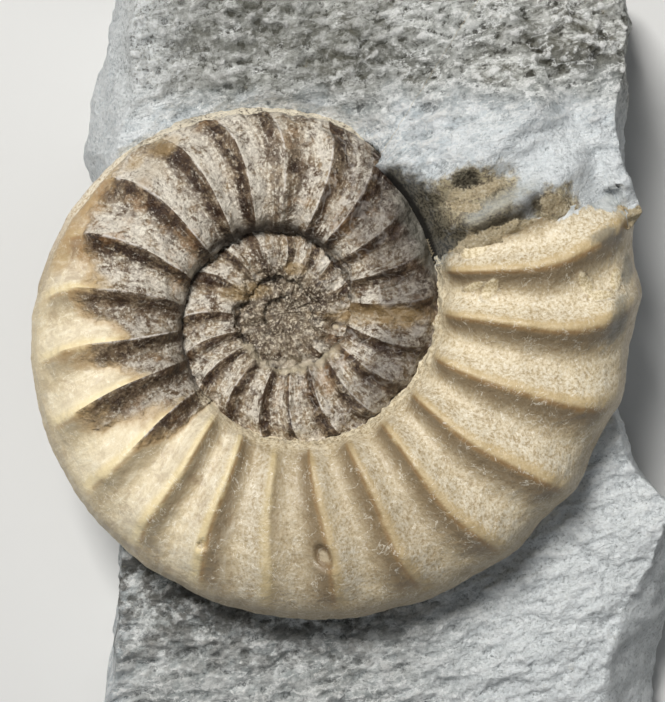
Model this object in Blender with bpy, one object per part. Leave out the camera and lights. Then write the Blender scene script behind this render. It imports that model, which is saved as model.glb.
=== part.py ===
"""Ammonite fossil standing out of its block of grey limestone, lying face up on the block's flat back.

The named sizes are millimetres and the meshes are metres. +Z points out of the fossil's face and +Y to the
top of the face. The origin is the foot of the coil's axis on the block's flat back.
"""

import math

import bmesh
import bpy
import numpy as np
from mathutils import Vector, noise

MM = 0.001

# The coil: a spiral that opens anticlockwise, in degrees along the coil from the first sight of the last whorl
MID_PLANE = 30.0
MOUTH_DEG = 380.0
COLUMNS = 108
COLUMN_DEG = 360.0 / COLUMNS
VENTER_START = 26.4
VENTER_GROWTH = 0.10773
VENTER_SWAY = 0.0327
SEAM_START = 9.85
SEAM_GROWTH = 0.13437
SEAM_SWAY = 0.022
OVERLAP = 0.94
HANDOVER_DEG = (20.0, 80.0)

# The whorl's section: a squarish oval, thickest near the inner shoulder, with a low keel on the outer edge
HALF_BREADTH = 0.262
SQUARENESS = 2.5
OUTWARD_TAPER = 0.16
WALL_REACH = 0.97
KEEL_RISE = 0.5
KEEL_WIDTH_DEG = 7.0
WALL_DEG = 160.0
TOP_ROWS = 7
VENTER_TOP_DEG = 37.0
OUTER_ROWS_DEG = (20.0, 7.0, 0.0, -9.0, -28.0, -55.0, -86.0)
FLOOR_DEPTH = 7.0
CENTRE_RISE = 0.25

# The ribs: where each crest crosses the middle of the flank
RIB_CRESTS_DEG = (
    -338, -315, -295, -274, -252, -230, -209, -180, -160, -142, -123, -104, -86.5, -68.5, -50.5, -34, -16.5,
    4, 21.5, 39, 56, 71.5, 89, 104.5, 120, 137.5, 156, 172.5, 190, 205.5, 222, 237, 251, 266, 281, 296, 310.5,
    326, 341.5, 356.5, 370.5, 384, 398, 412,
)
INNERMOST_RIBS = 16
INNERMOST_RIB_STEP_DEG = 24.0
RIB_RELIEF = 0.047
RIB_ROUNDING = 0.3
RIB_BEND_DEG = 5.5
RIB_MIDDLE = 0.48
RIB_START = (0.02, 0.2)
RIB_END_EARLY = (0.7, 0.93)
RIB_END_LATE = (0.8, 1.14)
RIB_UNDER_DEG = (-30.0, 5.0)
RIB_END_CHANGE_DEG = (285.0, 325.0)
FAINT_RIBS_DEG = (271.0, 21.0)
FAINT_RIBS_SHARE = 0.55

# The block: (y, x) points of its widest outline on the left and the right, and how far the face's rim stands in
TOP_EDGE = 50.0
BOTTOM_EDGE = -63.0
LEFT_OUTLINE = (
    (-63, -28.5), (-57, -27.9), (-50, -27.1), (-45.5, -26.2), (-41, -25.4), (-36, -25.6), (-20, -26), (8, -26.5),
    (18.5, -29.5), (24.7, -31.5), (29.4, -30.7), (34, -29.5), (41, -27.9), (50, -26),
)
RIGHT_OUTLINE = (
    (-63, 57), (-57.4, 57.8), (-52.7, 58.5), (-46, 60.3), (-38.6, 61.4), (-29.2, 58.9), (-26.9, 57), (-24.5, 54.9),
    (-19.8, 53.1), (-15, 51), (-5, 49), (8, 49), (14.5, 53.2), (21, 52), (24, 51.4), (28, 51), (35, 52.2),
    (39.3, 51.9), (44, 53), (50, 51.5),
)
LEFT_INSET = ((-63, 1), (-36, 0.8), (10, 3), (25, 7), (40, 4.6), (50, 4))
RIGHT_INSET = (
    (-63, 10.5), (-56.5, 9.9), (-46.7, 9), (-40, 7.3), (-30.8, 1.3), (-15, 1), (10, 1.4), (50, 1.6),
)
END_INSET = 3.0
SIDE_LEVELS = ((0.82, 0.62), (0.55, 0.25), (0.28, 0.0), (0.06, 0.03), (0.0, 0.09))
ACROSS_CELLS = 24
ALONG_CELLS = 30
ROCK_LUMPS = 1.9
ROCK_LUMP_SIZE = 16.0
ROCK_GRAIN = 1.1
ROCK_GRAIN_SIZE = 7.5
ROCK_SEED = 1795863335
FOOT_LUMPS_SHARE = 0.35

# The block's face: heights above the coil's mid-plane, in rows of one y each, at the places across
FACE_ACROSS = (-30, -8, 12, 24, 36, 46, 54)
FACE_HEIGHTS = (
    (-63, (-11, -10, -9, -8.5, -8, -7.5, -7)),
    (-36, (-10, -9.5, -8.5, -7.5, -6, -5, -5)),
    (-16, (-9, -9, -8, -6.5, -5.5, -4.5, -4)),
    (5, (-4, 0, 4, 8, 10, 9, 6)),
    (16, (0, 4, 9, 12.3, 12.8, 11, 7.5)),
    (26, (0.5, 1.5, 3.5, 10, 11.2, 10.2, 8)),
    (38, (1, 2.5, 4.5, 7.5, 8.8, 8.4, 7)),
    (50, (0.5, 1.5, 3, 4.5, 5.5, 5.5, 4)),
)

# The pocket in the block: its clearance round the shell, and from where along the coil the shell is bare
CLEARANCE = 0.35
SEAM_LIFT = 0.5
BARE_FROM_DEG = 57.0
BARE_RIM_DEG = 20.0
SHAFT_TOP = 30.0
SHAFT_PEAK = 6.0

SHARP_DEG = 38.0


def ramp(value, low, high):
    """0 below low, 1 above high, smooth between."""
    t = np.clip((np.asarray(value, float) - low) / (high - low), 0.0, 1.0)
    return t * t * (3.0 - 2.0 * t)


def seam_radius(turn):
    """Radius in mm of the line where a whorl meets the one inside it, at turn degrees along the coil."""
    t = np.radians(turn)
    return SEAM_START * np.exp(SEAM_GROWTH * t - SEAM_SWAY * np.sin(t))


def venter_radius(turn):
    """Radius in mm of a whorl's outer edge. On the inner whorls it is hidden under the next whorl."""
    t = np.radians(turn)
    outer = VENTER_START * np.exp(VENTER_GROWTH * t - VENTER_SWAY * np.sin(t))
    inner = seam_radius(np.asarray(turn) + 360.0) / OVERLAP
    return inner + (outer - inner) * ramp(turn, *HANDOVER_DEG)


def rib_crests():
    """Every rib's angle along the coil, the measured ones and evenly spaced ones on the innermost whorl."""
    inner = RIB_CRESTS_DEG[0] - INNERMOST_RIB_STEP_DEG * np.arange(INNERMOST_RIBS, 0, -1)
    return np.concatenate([inner, RIB_CRESTS_DEG])


def rib_relief(turn, across):
    """Height in mm that the ribs add, turn degrees along the coil and a share across it from seam to venter."""
    crests = rib_crests()
    local = turn - RIB_BEND_DEG * (2.0 * (across - RIB_MIDDLE)) ** 2
    k = np.clip(np.searchsorted(crests, local) - 1, 0, len(crests) - 2)
    share = (local - crests[k]) / (crests[k + 1] - crests[k])
    off_crest = np.sqrt(np.sin(np.pi * share) ** 2 + RIB_ROUNDING**2)
    mid_valley = math.hypot(1.0, RIB_ROUNDING)
    ridge = (mid_valley - off_crest) / (mid_valley - RIB_ROUNDING)
    late = ramp(turn, *RIB_END_CHANGE_DEG)
    early_end = 1.0 - ramp(across, *RIB_END_EARLY)
    late_end = 1.0 - ramp(across, *RIB_END_LATE)
    reach = ramp(across, *RIB_START) * (early_end + (late_end - early_end) * late)
    faint = 1.0 - FAINT_RIBS_SHARE * np.exp(-(((turn - FAINT_RIBS_DEG[0]) / FAINT_RIBS_DEG[1]) ** 2))
    return RIB_RELIEF * venter_radius(turn) * reach * faint * ridge


def section_point(turn, around, grow=0.0):
    """(radius, height over the mid-plane) in mm of the shell's surface, around degrees up from the venter."""
    outer = venter_radius(turn)
    inner = WALL_REACH * seam_radius(turn)
    middle = (outer + inner) / 2.0
    c, s = math.cos(math.radians(around)), math.sin(math.radians(around))
    x = math.copysign(abs(c) ** (2.0 / SQUARENESS), c)
    z = math.copysign(abs(s) ** (2.0 / SQUARENESS), s)
    across = (x + 1.0) / 2.0
    added = grow + KEEL_RISE * math.exp(-((around / KEEL_WIDTH_DEG) ** 2))
    added += float(rib_relief(turn, across) * ramp(around, *RIB_UNDER_DEG))
    height = HALF_BREADTH * outer * (1.0 - OUTWARD_TAPER * across) * z
    return middle + (outer - middle) * x + added * c, height + added * s


def seam_angle(turn):
    """The angle around the section at which a whorl is cut off by the next one's seam."""
    outer = venter_radius(turn)
    inner = WALL_REACH * seam_radius(turn)
    x = 2.0 * (seam_radius(turn + 360.0) - inner) / (outer - inner) - 1.0
    return math.degrees(math.acos(float(np.clip(x, 0.0, 1.0)) ** (SQUARENESS / 2.0)))


def at(turn, radius, height):
    """The point in metres at turn degrees, radius mm from the axis and height mm over the mid-plane."""
    a = math.radians(turn)
    return Vector((radius * math.cos(a), radius * math.sin(a), MID_PLANE + height)) * MM


def finished(bm, name):
    """A mesh made from a bmesh, with its faces turned out."""
    bmesh.ops.recalc_face_normals(bm, faces=bm.faces)
    mesh = bpy.data.meshes.new(name)
    bm.to_mesh(mesh)
    bm.free()
    return mesh


def strip(bm, one, other):
    """Four-sided faces between two chains of points, as far as the shorter one goes."""
    for j in range(min(len(one), len(other)) - 1):
        bm.faces.new((one[j], one[j + 1], other[j + 1], other[j]))


def fan(bm, apex, chain):
    """Triangles from one point to each step of a chain."""
    for here, there in zip(chain, chain[1:]):
        bm.faces.new((apex, here, there))


def coil_mesh(name):
    """A closed surface over three whorls: a spiral strip whose inner edge is the turn before's outer edge."""
    bm = bmesh.new()
    first = -2 * COLUMNS
    columns = []
    for i in range(first, COLUMNS + 1):
        turn = MOUTH_DEG + (i - COLUMNS) * COLUMN_DEG
        end = VENTER_TOP_DEG if i > 0 else seam_angle(turn)
        if i - COLUMNS >= first:
            column = [columns[i - COLUMNS - first][TOP_ROWS]]
        else:
            column = [bm.verts.new(at(turn, float(seam_radius(turn)), CENTRE_RISE))]
        angles = list(np.linspace(WALL_DEG, end, TOP_ROWS))
        if i >= 0:
            angles += OUTER_ROWS_DEG
        column += [bm.verts.new(at(turn, *section_point(turn, a))) for a in angles]
        columns.append(column)
    for here, there in zip(columns, columns[1:]):
        strip(bm, here, there)
    centre = bm.verts.new(at(0.0, 0.0, CENTRE_RISE))
    fan(bm, centre, [column[0] for column in columns[:COLUMNS + 1]])
    fan(bm, columns[0][TOP_ROWS], [centre, *columns[0][:TOP_ROWS]])
    floor = bm.verts.new(at(0.0, 0.0, -FLOOR_DEPTH))
    fan(bm, floor, [column[-1] for column in columns[-COLUMNS - 1:]])
    under_start, mouth = columns[-COLUMNS - 1][TOP_ROWS + 1:], columns[-1][TOP_ROWS + 1:]
    strip(bm, under_start, mouth)
    fan(bm, floor, [under_start[-1], mouth[-1]])
    fan(bm, mouth[0], [*reversed(columns[-1][:TOP_ROWS + 1]), under_start[0]])
    return finished(bm, name)


def pocket_column(turn):
    """(radius, height) points of the pocket's wall from its floor up: round the shell, then straight up."""
    under = [section_point(turn, a, CLEARANCE) for a in reversed(OUTER_ROWS_DEG) if a <= 0.0]
    if turn > BARE_FROM_DEG:
        rim, height = section_point(turn, BARE_RIM_DEG, CLEARANCE)
        return under + [(rim, height), (rim, height + SHAFT_TOP / 2.0), (rim, SHAFT_TOP)]
    shoulder = section_point(turn, VENTER_TOP_DEG, CLEARANCE)
    radius, height = section_point(turn, seam_angle(turn))
    return under + [shoulder, (radius, height + SEAM_LIFT), (radius, SHAFT_TOP)]


def pocket_mesh(name):
    """The room taken out of the block for the shell: its outside with a clearance, open over its whole face."""
    bm = bmesh.new()
    mouth = math.radians(MOUTH_DEG)
    past_mouth = Vector((-math.sin(mouth), math.cos(mouth), 0.0)) * CLEARANCE * MM
    turns = [MOUTH_DEG + (i - COLUMNS) * COLUMN_DEG for i in range(COLUMNS + 1)]
    columns = [[bm.verts.new(at(turn, *p)) for p in pocket_column(turn)] for turn in turns]
    for vert in columns[0] + columns[-1]:
        vert.co += past_mouth
    floor = bm.verts.new(at(0.0, 0.0, -FLOOR_DEPTH - CLEARANCE))
    top = bm.verts.new(at(0.0, 0.0, SHAFT_TOP + SHAFT_PEAK))
    for here, there in zip(columns, [*columns[1:], columns[0]]):
        strip(bm, here, there)
    fan(bm, floor, [column[0] for column in [*columns, columns[0]]])
    fan(bm, top, [column[-1] for column in [*columns, columns[0]]])
    return finished(bm, name)


def through(points, y):
    """A line through (y, value) points, read at y."""
    known = np.array(points, float)
    return np.interp(y, known[:, 0], known[:, 1])


def face_height(x, y):
    """Height in mm over the mid-plane of the block's front face, before its lumps."""
    rows = [row for row, _ in FACE_HEIGHTS]
    k = int(np.clip(np.searchsorted(rows, y) - 1, 0, len(rows) - 2))
    lower, upper = (np.interp(x, FACE_ACROSS, FACE_HEIGHTS[n][1]) for n in (k, k + 1))
    return float(lower + (upper - lower) * ramp(y, rows[k], rows[k + 1]))


def lumps(point):
    """The rock's broken unevenness at a point in mm: broad lumps with finer ones on them."""
    broad = noise.noise_vector(point / ROCK_LUMP_SIZE) * ROCK_LUMPS
    fine = noise.noise_vector(point / ROCK_GRAIN_SIZE) * ROCK_GRAIN
    return broad + fine


def block_point(u, v, level, inset, flat=False):
    """A point in mm of the block: u and v across the face, level from 0 at the back to 1 at the face.

    Inset is the share of the way in from the widest outline to the face's rim. A flat point stays on the back.
    """
    y = BOTTOM_EDGE + END_INSET * inset + (TOP_EDGE - BOTTOM_EDGE - 2.0 * END_INSET * inset) * v
    left = through(LEFT_OUTLINE, y) + inset * through(LEFT_INSET, y)
    right = through(RIGHT_OUTLINE, y) - inset * through(RIGHT_INSET, y)
    x = left + (right - left) * u
    point = Vector((x, y, (MID_PLANE + face_height(x, y)) * level))
    if not flat:
        point += lumps(point) * (FOOT_LUMPS_SHARE + (1.0 - FOOT_LUMPS_SHARE) * level)
    return point


def block_mesh(name):
    """The limestone block before the shell's pocket is cut: a gridded face, side rings and a flat back."""
    bm = bmesh.new()

    def corner(i, j, *where):
        return bm.verts.new(block_point(i / ACROSS_CELLS, j / ALONG_CELLS, *where) * MM)

    face = [[corner(i, j, 1.0, 1.0) for i in range(ACROSS_CELLS + 1)] for j in range(ALONG_CELLS + 1)]
    for low, high in zip(face, face[1:]):
        for i in range(ACROSS_CELLS):
            bm.faces.new((low[i], low[i + 1], high[i + 1], high[i]))
    rim = [(i, 0) for i in range(ACROSS_CELLS)] + [(ACROSS_CELLS, j) for j in range(ALONG_CELLS)]
    rim += [(i, ALONG_CELLS) for i in range(ACROSS_CELLS, 0, -1)] + [(0, j) for j in range(ALONG_CELLS, 0, -1)]
    ring = [face[j][i] for i, j in rim]
    for level, inset in SIDE_LEVELS:
        lower = [corner(i, j, level, inset, level == 0.0) for i, j in rim]
        for k in range(len(rim)):
            n = (k + 1) % len(rim)
            bm.faces.new((ring[k], lower[k], lower[n], ring[n]))
        ring = lower
    bm.faces.new(reversed(ring))
    return finished(bm, name)


def material(name, colour, roughness):
    """A plain Principled material."""
    made = bpy.data.materials.new(name)
    made.use_nodes = True
    shader = made.node_tree.nodes["Principled BSDF"]
    shader.inputs["Base Color"].default_value = (*colour, 1.0)
    shader.inputs["Roughness"].default_value = roughness
    shader.inputs["Metallic"].default_value = 0.0
    return made


def shell_calcite():
    """Cream shell and calcite, waxy where it is polished."""
    return material("shell_calcite", (0.50, 0.40, 0.27), 0.42)


def grey_limestone():
    """The matt grey rock."""
    return material("grey_limestone", (0.42, 0.45, 0.46), 0.9)


def new_collection(name):
    """A new collection in the scene."""
    made = bpy.data.collections.new(name)
    bpy.context.scene.collection.children.link(made)
    return made


def place(name, mesh, collection):
    """An object that shows a mesh, in a collection."""
    made = bpy.data.objects.new(name, mesh)
    collection.objects.link(made)
    return made


def finish(piece, surface):
    """Gives a piece its material, and smooth shading up to its sharp edges."""
    piece.data.materials.append(surface)
    piece.data.shade_smooth()
    piece.data.set_sharp_from_angle(angle=math.radians(SHARP_DEG))


def cut(target, cutter):
    """Takes a cutter away from a piece, and hides the cutter."""
    difference = target.modifiers.new("cut_" + cutter.name, "BOOLEAN")
    difference.operation = "DIFFERENCE"
    difference.solver = "EXACT"
    difference.object = cutter
    cutter.hide_render = True
    cutter.display_type = "WIRE"


def ammonite(fossil):
    """The coiled shell with the rock that fills it."""
    piece = place("ammonite", coil_mesh("ammonite"), fossil)
    finish(piece, shell_calcite())


def limestone_block(fossil, cutters):
    """The block of rock, with the pocket that the shell sits in."""
    piece = place("limestone_block", block_mesh("limestone_block"), fossil)
    finish(piece, grey_limestone())
    cut(piece, place("pocket", pocket_mesh("pocket"), cutters))


def main():
    for old in list(bpy.data.objects):
        bpy.data.objects.remove(old, do_unlink=True)
    noise.seed_set(ROCK_SEED)
    fossil = new_collection("ammonite_fossil")
    cutters = new_collection("cutters")
    ammonite(fossil)
    limestone_block(fossil, cutters)


main()
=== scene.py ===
"""The looks of the ammonite fossil: its ribbed shell and the limestone block round it, in fine mesh."""

import math

import bmesh
import bpy
import numpy as np
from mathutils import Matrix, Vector, noise


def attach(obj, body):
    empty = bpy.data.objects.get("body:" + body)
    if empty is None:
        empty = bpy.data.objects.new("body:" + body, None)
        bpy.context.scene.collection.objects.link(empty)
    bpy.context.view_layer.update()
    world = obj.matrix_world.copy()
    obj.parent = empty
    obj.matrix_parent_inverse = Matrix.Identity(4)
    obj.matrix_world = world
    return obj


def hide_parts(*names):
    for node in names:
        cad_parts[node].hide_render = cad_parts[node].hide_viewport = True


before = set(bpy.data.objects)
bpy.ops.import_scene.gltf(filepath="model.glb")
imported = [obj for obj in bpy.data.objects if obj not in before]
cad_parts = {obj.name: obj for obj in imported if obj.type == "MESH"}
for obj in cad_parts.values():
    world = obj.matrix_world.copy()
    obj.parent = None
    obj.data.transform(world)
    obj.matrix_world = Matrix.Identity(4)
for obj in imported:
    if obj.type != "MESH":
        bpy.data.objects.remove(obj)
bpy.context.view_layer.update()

MM = 0.001

# The coil, as in the solids: millimetres, and degrees along the coil from the first sight of the last whorl
MID_PLANE = 30.0
MOUTH_DEG = 380.0
VENTER_START = 26.4
VENTER_GROWTH = 0.10773
VENTER_SWAY = 0.0327
SEAM_START = 9.85
SEAM_GROWTH = 0.13437
SEAM_SWAY = 0.022
OVERLAP = 0.94
HANDOVER_DEG = (20.0, 80.0)

# The whorl's section: a squarish oval, thickest near the inner shoulder, with a low keel on the outer edge
HALF_BREADTH = 0.262
SQUARENESS = 2.5
OUTWARD_TAPER = 0.16
WALL_REACH = 0.97
KEEL_RISE = 0.5
KEEL_WIDTH_DEG = 7.0
WALL_DEG = 160.0
VENTER_TOP_DEG = 37.0
UNDER_END_DEG = -86.0
FLOOR_DEPTH = 7.0
CENTRE_RISE = 0.25
CENTRE_RINGS = 7

# The ribs: where each crest crosses the middle of the flank
RIB_CRESTS_DEG = (
    -338, -315, -295, -274, -252, -230, -209, -180, -160, -142, -123, -104, -86.5, -68.5, -50.5, -34, -16.5,
    4, 21.5, 39, 56, 71.5, 89, 104.5, 120, 137.5, 156, 172.5, 190, 205.5, 222, 237, 251, 266, 281, 296, 310.5,
    326, 341.5, 356.5, 370.5, 384, 398, 412,
)
INNERMOST_RIBS = 16
INNERMOST_RIB_STEP_DEG = 24.0
RIB_RELIEF = 0.05
RIB_ROUNDING = (0.16, 0.42)
RIB_BENDS_DEG = ((172, 5.5), (194, 0.4), (275, 0.4), (330, 3.0), (360, 5.5))
RIB_WAVE_DEG = 0.45
RIB_MIDDLE = 0.48
RIB_START = (0.02, 0.2)
RIB_END_EARLY = (0.7, 0.93)
RIB_END_LATE = (0.8, 1.14)
RIB_UNDER_DEG = (-30.0, 5.0)
RIB_END_CHANGE_DEG = (285.0, 325.0)
FAINT_RIBS_DEG = (271.0, 21.0)
FAINT_RIBS_SHARE = 0.55
RIB_UNEVENNESS = ((0.12, 2.4, 1.0), (0.06, 5.3, 0.0))
EARLY_RIB_UNEVENNESS = 0.3
EARLY_RIBS_DEG = (0.0, 40.0)
WORN_RIBS_LEFT = 0.3
WORN_RIBS_DEG = (-420.0, -120.0)

# The shell's fine relief, in mm
SEAM_CRUMBS = 0.7
CENTRE_WEAR = 0.9
CENTRE_GRAIN = 0.9
FLAKE_THICKNESS = 0.38
GROOVE_DEPTH = 0.42
GROOVE_AROUND_DEG = (17.0, 5.0)

# How finely the shell is meshed
COLUMNS = 640
INNER_ROWS = 26
FLANK_ROWS = 62
OUTER_ROWS = 29

# The block, as in the solids: (y, x) outlines, how far the face's rim stands in, and the face's heights
TOP_EDGE = 50.0
BOTTOM_EDGE = -63.0
LEFT_OUTLINE = (
    (-63, -28.5), (-57, -27.9), (-50, -27.1), (-45.5, -26.2), (-41, -25.4), (-36, -25.6), (-20, -26),
    (8, -26.5), (18.5, -29.5), (24.7, -31.5), (29.4, -30.7), (34, -29.5), (41, -27.9), (50, -26),
)
RIGHT_OUTLINE = (
    (-63, 57), (-57.4, 57.8), (-52.7, 58.5), (-46, 60.3), (-38.6, 61.4), (-29.2, 58.9), (-26.9, 57),
    (-24.5, 54.9), (-19.8, 53.1), (-15, 51), (-5, 49), (8, 49), (14.5, 53.2), (21, 52), (24, 51.4), (28, 51),
    (35, 52.2), (39.3, 51.9), (44, 53), (50, 51.5),
)
LEFT_INSET = ((-63, 1), (-36, 0.8), (10, 3), (25, 7), (40, 4.6), (50, 4))
RIGHT_INSET = (
    (-63, 10.5), (-56.5, 9.9), (-46.7, 9), (-40, 7.3), (-30.8, 1.3), (-15, 1), (10, 1.4), (50, 1.6),
)
END_INSET = 3.0
SIDE_LEVELS = ((1.0, 1.0), (0.82, 0.62), (0.55, 0.25), (0.28, 0.0), (0.06, 0.03), (0.0, 0.09))
ROCK_LUMPS = 1.9
ROCK_LUMP_SIZE = 16.0
ROCK_GRAIN = 1.1
ROCK_GRAIN_SIZE = 7.5
ROCK_SEED = 1795863335
FOOT_LUMPS_SHARE = 0.35
FACE_ACROSS = (-30, -8, 12, 24, 36, 46, 54)
FACE_HEIGHTS = (
    (-63, (-11, -10, -9, -8.5, -8, -7.5, -7)),
    (-36, (-10, -9.5, -8.5, -7.5, -6, -5, -5)),
    (-16, (-9, -9, -8, -6.5, -5.5, -4.5, -4)),
    (5, (-4, 0, 4, 8, 10, 9, 6)),
    (16, (0, 4, 9, 12.3, 12.8, 11, 7.5)),
    (26, (0.5, 1.5, 3.5, 10, 11.2, 10.2, 8)),
    (38, (1, 2.5, 4.5, 7.5, 8.8, 8.4, 7)),
    (50, (0.5, 1.5, 3, 4.5, 5.5, 5.5, 4)),
)

# How finely the block is meshed
ACROSS_CELLS = 232
ALONG_CELLS = 290
SIDE_RINGS = 22
SIDE_RELIEF_SHARE = 0.4
LEAST_RING_GAP = 0.08
BLOCK_MIDDLE = (12.0, -6.0, 0.0)
SMOOTHINGS = 12

# Where the stone goes on over the early whorl, and how it meets the shell
COVER_END_DEG = 418.0
STAINED_HEIGHT = (29.0, 33.0)
ROCK_SOFT_TOP = 13.8
ROCK_HEADROOM = 2.0
MOUTH_TUCK_DEG = 376.5
WHORL_FADE_DEG = (392.0, 412.0)
POCKET_GAP = 0.5
POCKET_EDGE = 0.6
LAP_DEG = 0.6
LAP_HEIGHT = 0.06
LAP_FALL = 0.35
NO_LIMIT = 1e3
NEAR_MOUTH_DEG = -10.0
AWAY_FROM_MOUTH_DEG = -20.0

# Where the last of the cream shell ends near the mouth: radius in mm, degrees along the coil
SHELL_EDGE = ((24, 376), (28, 382.5), (31, 382.1), (38, 380), (44, 378.7), (53.6, 376.4))

# How far across the whorl the brown calcite reaches from the seam: degrees along the coil, share across
CALCITE_REACH = (
    (20, 1.2), (120, 1.15), (135, 1.0), (152, 0.85), (175, 0.68), (200, 0.62), (216, 0.5), (230, 0.2),
    (238, -0.3),
)

# Patches of other colour on the face: x, y, length, width in mm and the way that the length points in degrees
SHELL_ON_STONE = ((25.3, 16.4, 1.8, 1.3, 70), (28.3, 17.3, 2.7, 1.0, 10), (31.2, 18.4, 1.9, 0.9, 20),
                  (27.2, 15.0, 1.9, 0.8, 0), (39.8, 15.5, 1.9, 2.3, 80), (27.6, 9.6, 2.4, 1.1, 30),
                  (30.6, 9.9, 2.2, 0.9, 12), (33.2, 12.2, 1.8, 0.8, 30))
TAN_STONE = ((27.6, 15.8, 5.6, 3.6, 12), (30.6, 10.6, 4.6, 2.2, 30), (40.0, 15.0, 2.8, 2.4, 0))
DARK_STONE = ((20.4, 13.2, 7.6, 3.0, 116), (26.7, 19.0, 1.7, 1.3, 0), (24.0, 8.6, 4.0, 1.4, 60),
              (47.4, 11.1, 2.8, 1.4, 20), (49.2, -1.2, 3.6, 1.5, 75), (51.0, 6.0, 2.5, 1.0, 80))
OCHRE_PATCHES = ((-27.6, 4.6, 2.0, 1.6, 0), (-17.5, 24.5, 2.4, 1.6, 30), (-22.0, 22.0, 1.8, 1.0, 40),
                 (-30.5, 15.0, 5.0, 1.8, 60), (-6.0, 2.8, 4.2, 1.3, 10), (13.5, -0.5, 8.5, 1.9, -3),
                 (1.5, 6.5, 1.6, 1.0, 0), (-33.0, 8.0, 3.0, 1.5, 70))
PALE_PATCHES = ((0.5, -7.6, 5.5, 0.8, 0), (-20.0, 20.5, 3.0, 1.6, 40))
# Flakes of shell that stand proud of the whorl, given in the same way
FLAKES = ((30.3, 3.2, 1.9, 1.1, 60), (28.0, 3.6, 1.6, 0.6, 20), (44.3, 4.0, 2.1, 0.9, 115),
          (46.6, 2.3, 2.1, 0.8, 5), (49.0, 4.8, 2.0, 0.9, 80), (28.2, 9.0, 2.6, 1.1, 30),
          (33.2, 12.2, 1.6, 0.8, 30))
# Pits, given in the same way with their depth in mm as a sixth number
PITS = ((6.0, -36.2, 2.1, 1.3, 115, 1.3), (-12.0, -34.4, 0.8, 0.6, 10, 0.9), (7.8, -2.2, 0.9, 0.7, 0, 0.9))

# The broken rib in the stone past the mouth: its two ends (x, y), its height, and its width to each side
RIDGE = ((27.5, 12.2), (38.2, 18.2))
RIDGE_HEIGHT = 1.1
RIDGE_WIDTHS = (2.4, 0.7)

# The camera, straight over the face, and the soft lights: name, place in m, side in m, watts and colour
VIEW_MIDDLE = (0.00728, -0.00585, 0.03)
CAMERA_HEIGHT = 0.53
SENSOR_MM = 36.0
LENS_MM = 170.94
LIGHTS = (("key", (-0.23, 0.40, 0.95), 0.3, 12.6, (1.0, 0.985, 0.96)),
          ("fill", (0.1, -0.35, 0.95), 0.9, 1.2, (0.94, 0.97, 1.0)))
SKY_COLOUR = (0.95, 0.97, 1.0, 1.0)
SKY_STRENGTH = 0.08
FLOOR_REACH = 2.0
FLOOR_COLOUR = (0.62, 0.62, 0.61, 1.0)
FLOOR_ROUGHNESS = 0.9


def ramp(value, low, high):
    """0 below low, 1 above high, smooth between."""
    t = np.clip((np.asarray(value, float) - low) / (high - low), 0.0, 1.0)
    return t * t * (3.0 - 2.0 * t)


def bump_at(value, centre, width):
    """1 at the centre, falling off smoothly to 0 beside it."""
    return np.exp(-(((np.asarray(value, float) - centre) / width) ** 2))


def fractal(points, size, octaves=3, seed=0.0):
    """Fractal noise, about -1 to 1, for an array of points in mm and a size in mm."""
    flat = (points.reshape(-1, 3) / size + seed).tolist()
    values = [noise.fractal(p, 0.9, 2.1, octaves) for p in flat]
    return np.array(values).reshape(points.shape[:-1])


def seam_radius(turn):
    """Radius in mm of the line where a whorl meets the one inside it."""
    t = np.radians(turn)
    return SEAM_START * np.exp(SEAM_GROWTH * t - SEAM_SWAY * np.sin(t))


def venter_radius(turn):
    """Radius in mm of a whorl's outer edge. On the inner whorls it is hidden under the next whorl."""
    t = np.radians(turn)
    outer = VENTER_START * np.exp(VENTER_GROWTH * t - VENTER_SWAY * np.sin(t))
    inner = seam_radius(np.asarray(turn) + 360.0) / OVERLAP
    return inner + (outer - inner) * ramp(turn, *HANDOVER_DEG)


def rib_phase(turn, across):
    """The number of ribs passed along the coil; whole at each crest."""
    inner = RIB_CRESTS_DEG[0] - INNERMOST_RIB_STEP_DEG * np.arange(INNERMOST_RIBS, 0, -1)
    crests = np.concatenate([inner, RIB_CRESTS_DEG])
    local = turn - through(RIB_BENDS_DEG, turn) * (2.0 * (across - RIB_MIDDLE)) ** 2
    local = local + RIB_WAVE_DEG * np.sin(9.0 * across + 0.11 * turn) * ramp(turn, 100.0, 200.0)
    return np.interp(local, crests, np.arange(len(crests)))


def rib_reach(turn, across):
    """How much of its full height a rib has, 0 to 1."""
    late = ramp(turn, *RIB_END_CHANGE_DEG)
    early_end = 1.0 - ramp(across, *RIB_END_EARLY)
    late_end = 1.0 - ramp(across, *RIB_END_LATE)
    reach = ramp(across, *RIB_START) * (early_end + (late_end - early_end) * late)
    return reach * (1.0 - FAINT_RIBS_SHARE * bump_at(turn, *FAINT_RIBS_DEG))


def rib_relief(turn, across):
    """Height in mm that the ribs add."""
    phase = rib_phase(turn, across)
    rounding = RIB_ROUNDING[0] + (RIB_ROUNDING[1] - RIB_ROUNDING[0]) * ramp(turn, 200.0, 260.0)
    off_crest = np.sqrt(np.sin(np.pi * phase) ** 2 + rounding**2)
    mid_valley = np.hypot(1.0, rounding)
    ridge = (mid_valley - off_crest) / (mid_valley - rounding)
    uneven = 1.0
    for share, pace, shift in RIB_UNEVENNESS:
        uneven = uneven + share * np.sin(pace * phase + shift)
    early = 1.0 - ramp(turn, *EARLY_RIBS_DEG)
    uneven = uneven - EARLY_RIB_UNEVENNESS * early * np.sin(7.1 * phase + 4.0 * across)
    worn_down = WORN_RIBS_LEFT + (1.0 - WORN_RIBS_LEFT) * ramp(turn, *WORN_RIBS_DEG)
    return RIB_RELIEF * venter_radius(turn) * rib_reach(turn, across) * uneven * ridge * worn_down


def half_widths(turn):
    """(middle, half width) in mm of a whorl's section along the radius."""
    outer = venter_radius(turn)
    inner = WALL_REACH * seam_radius(turn)
    return (outer + inner) / 2.0, (outer - inner) / 2.0


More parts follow.
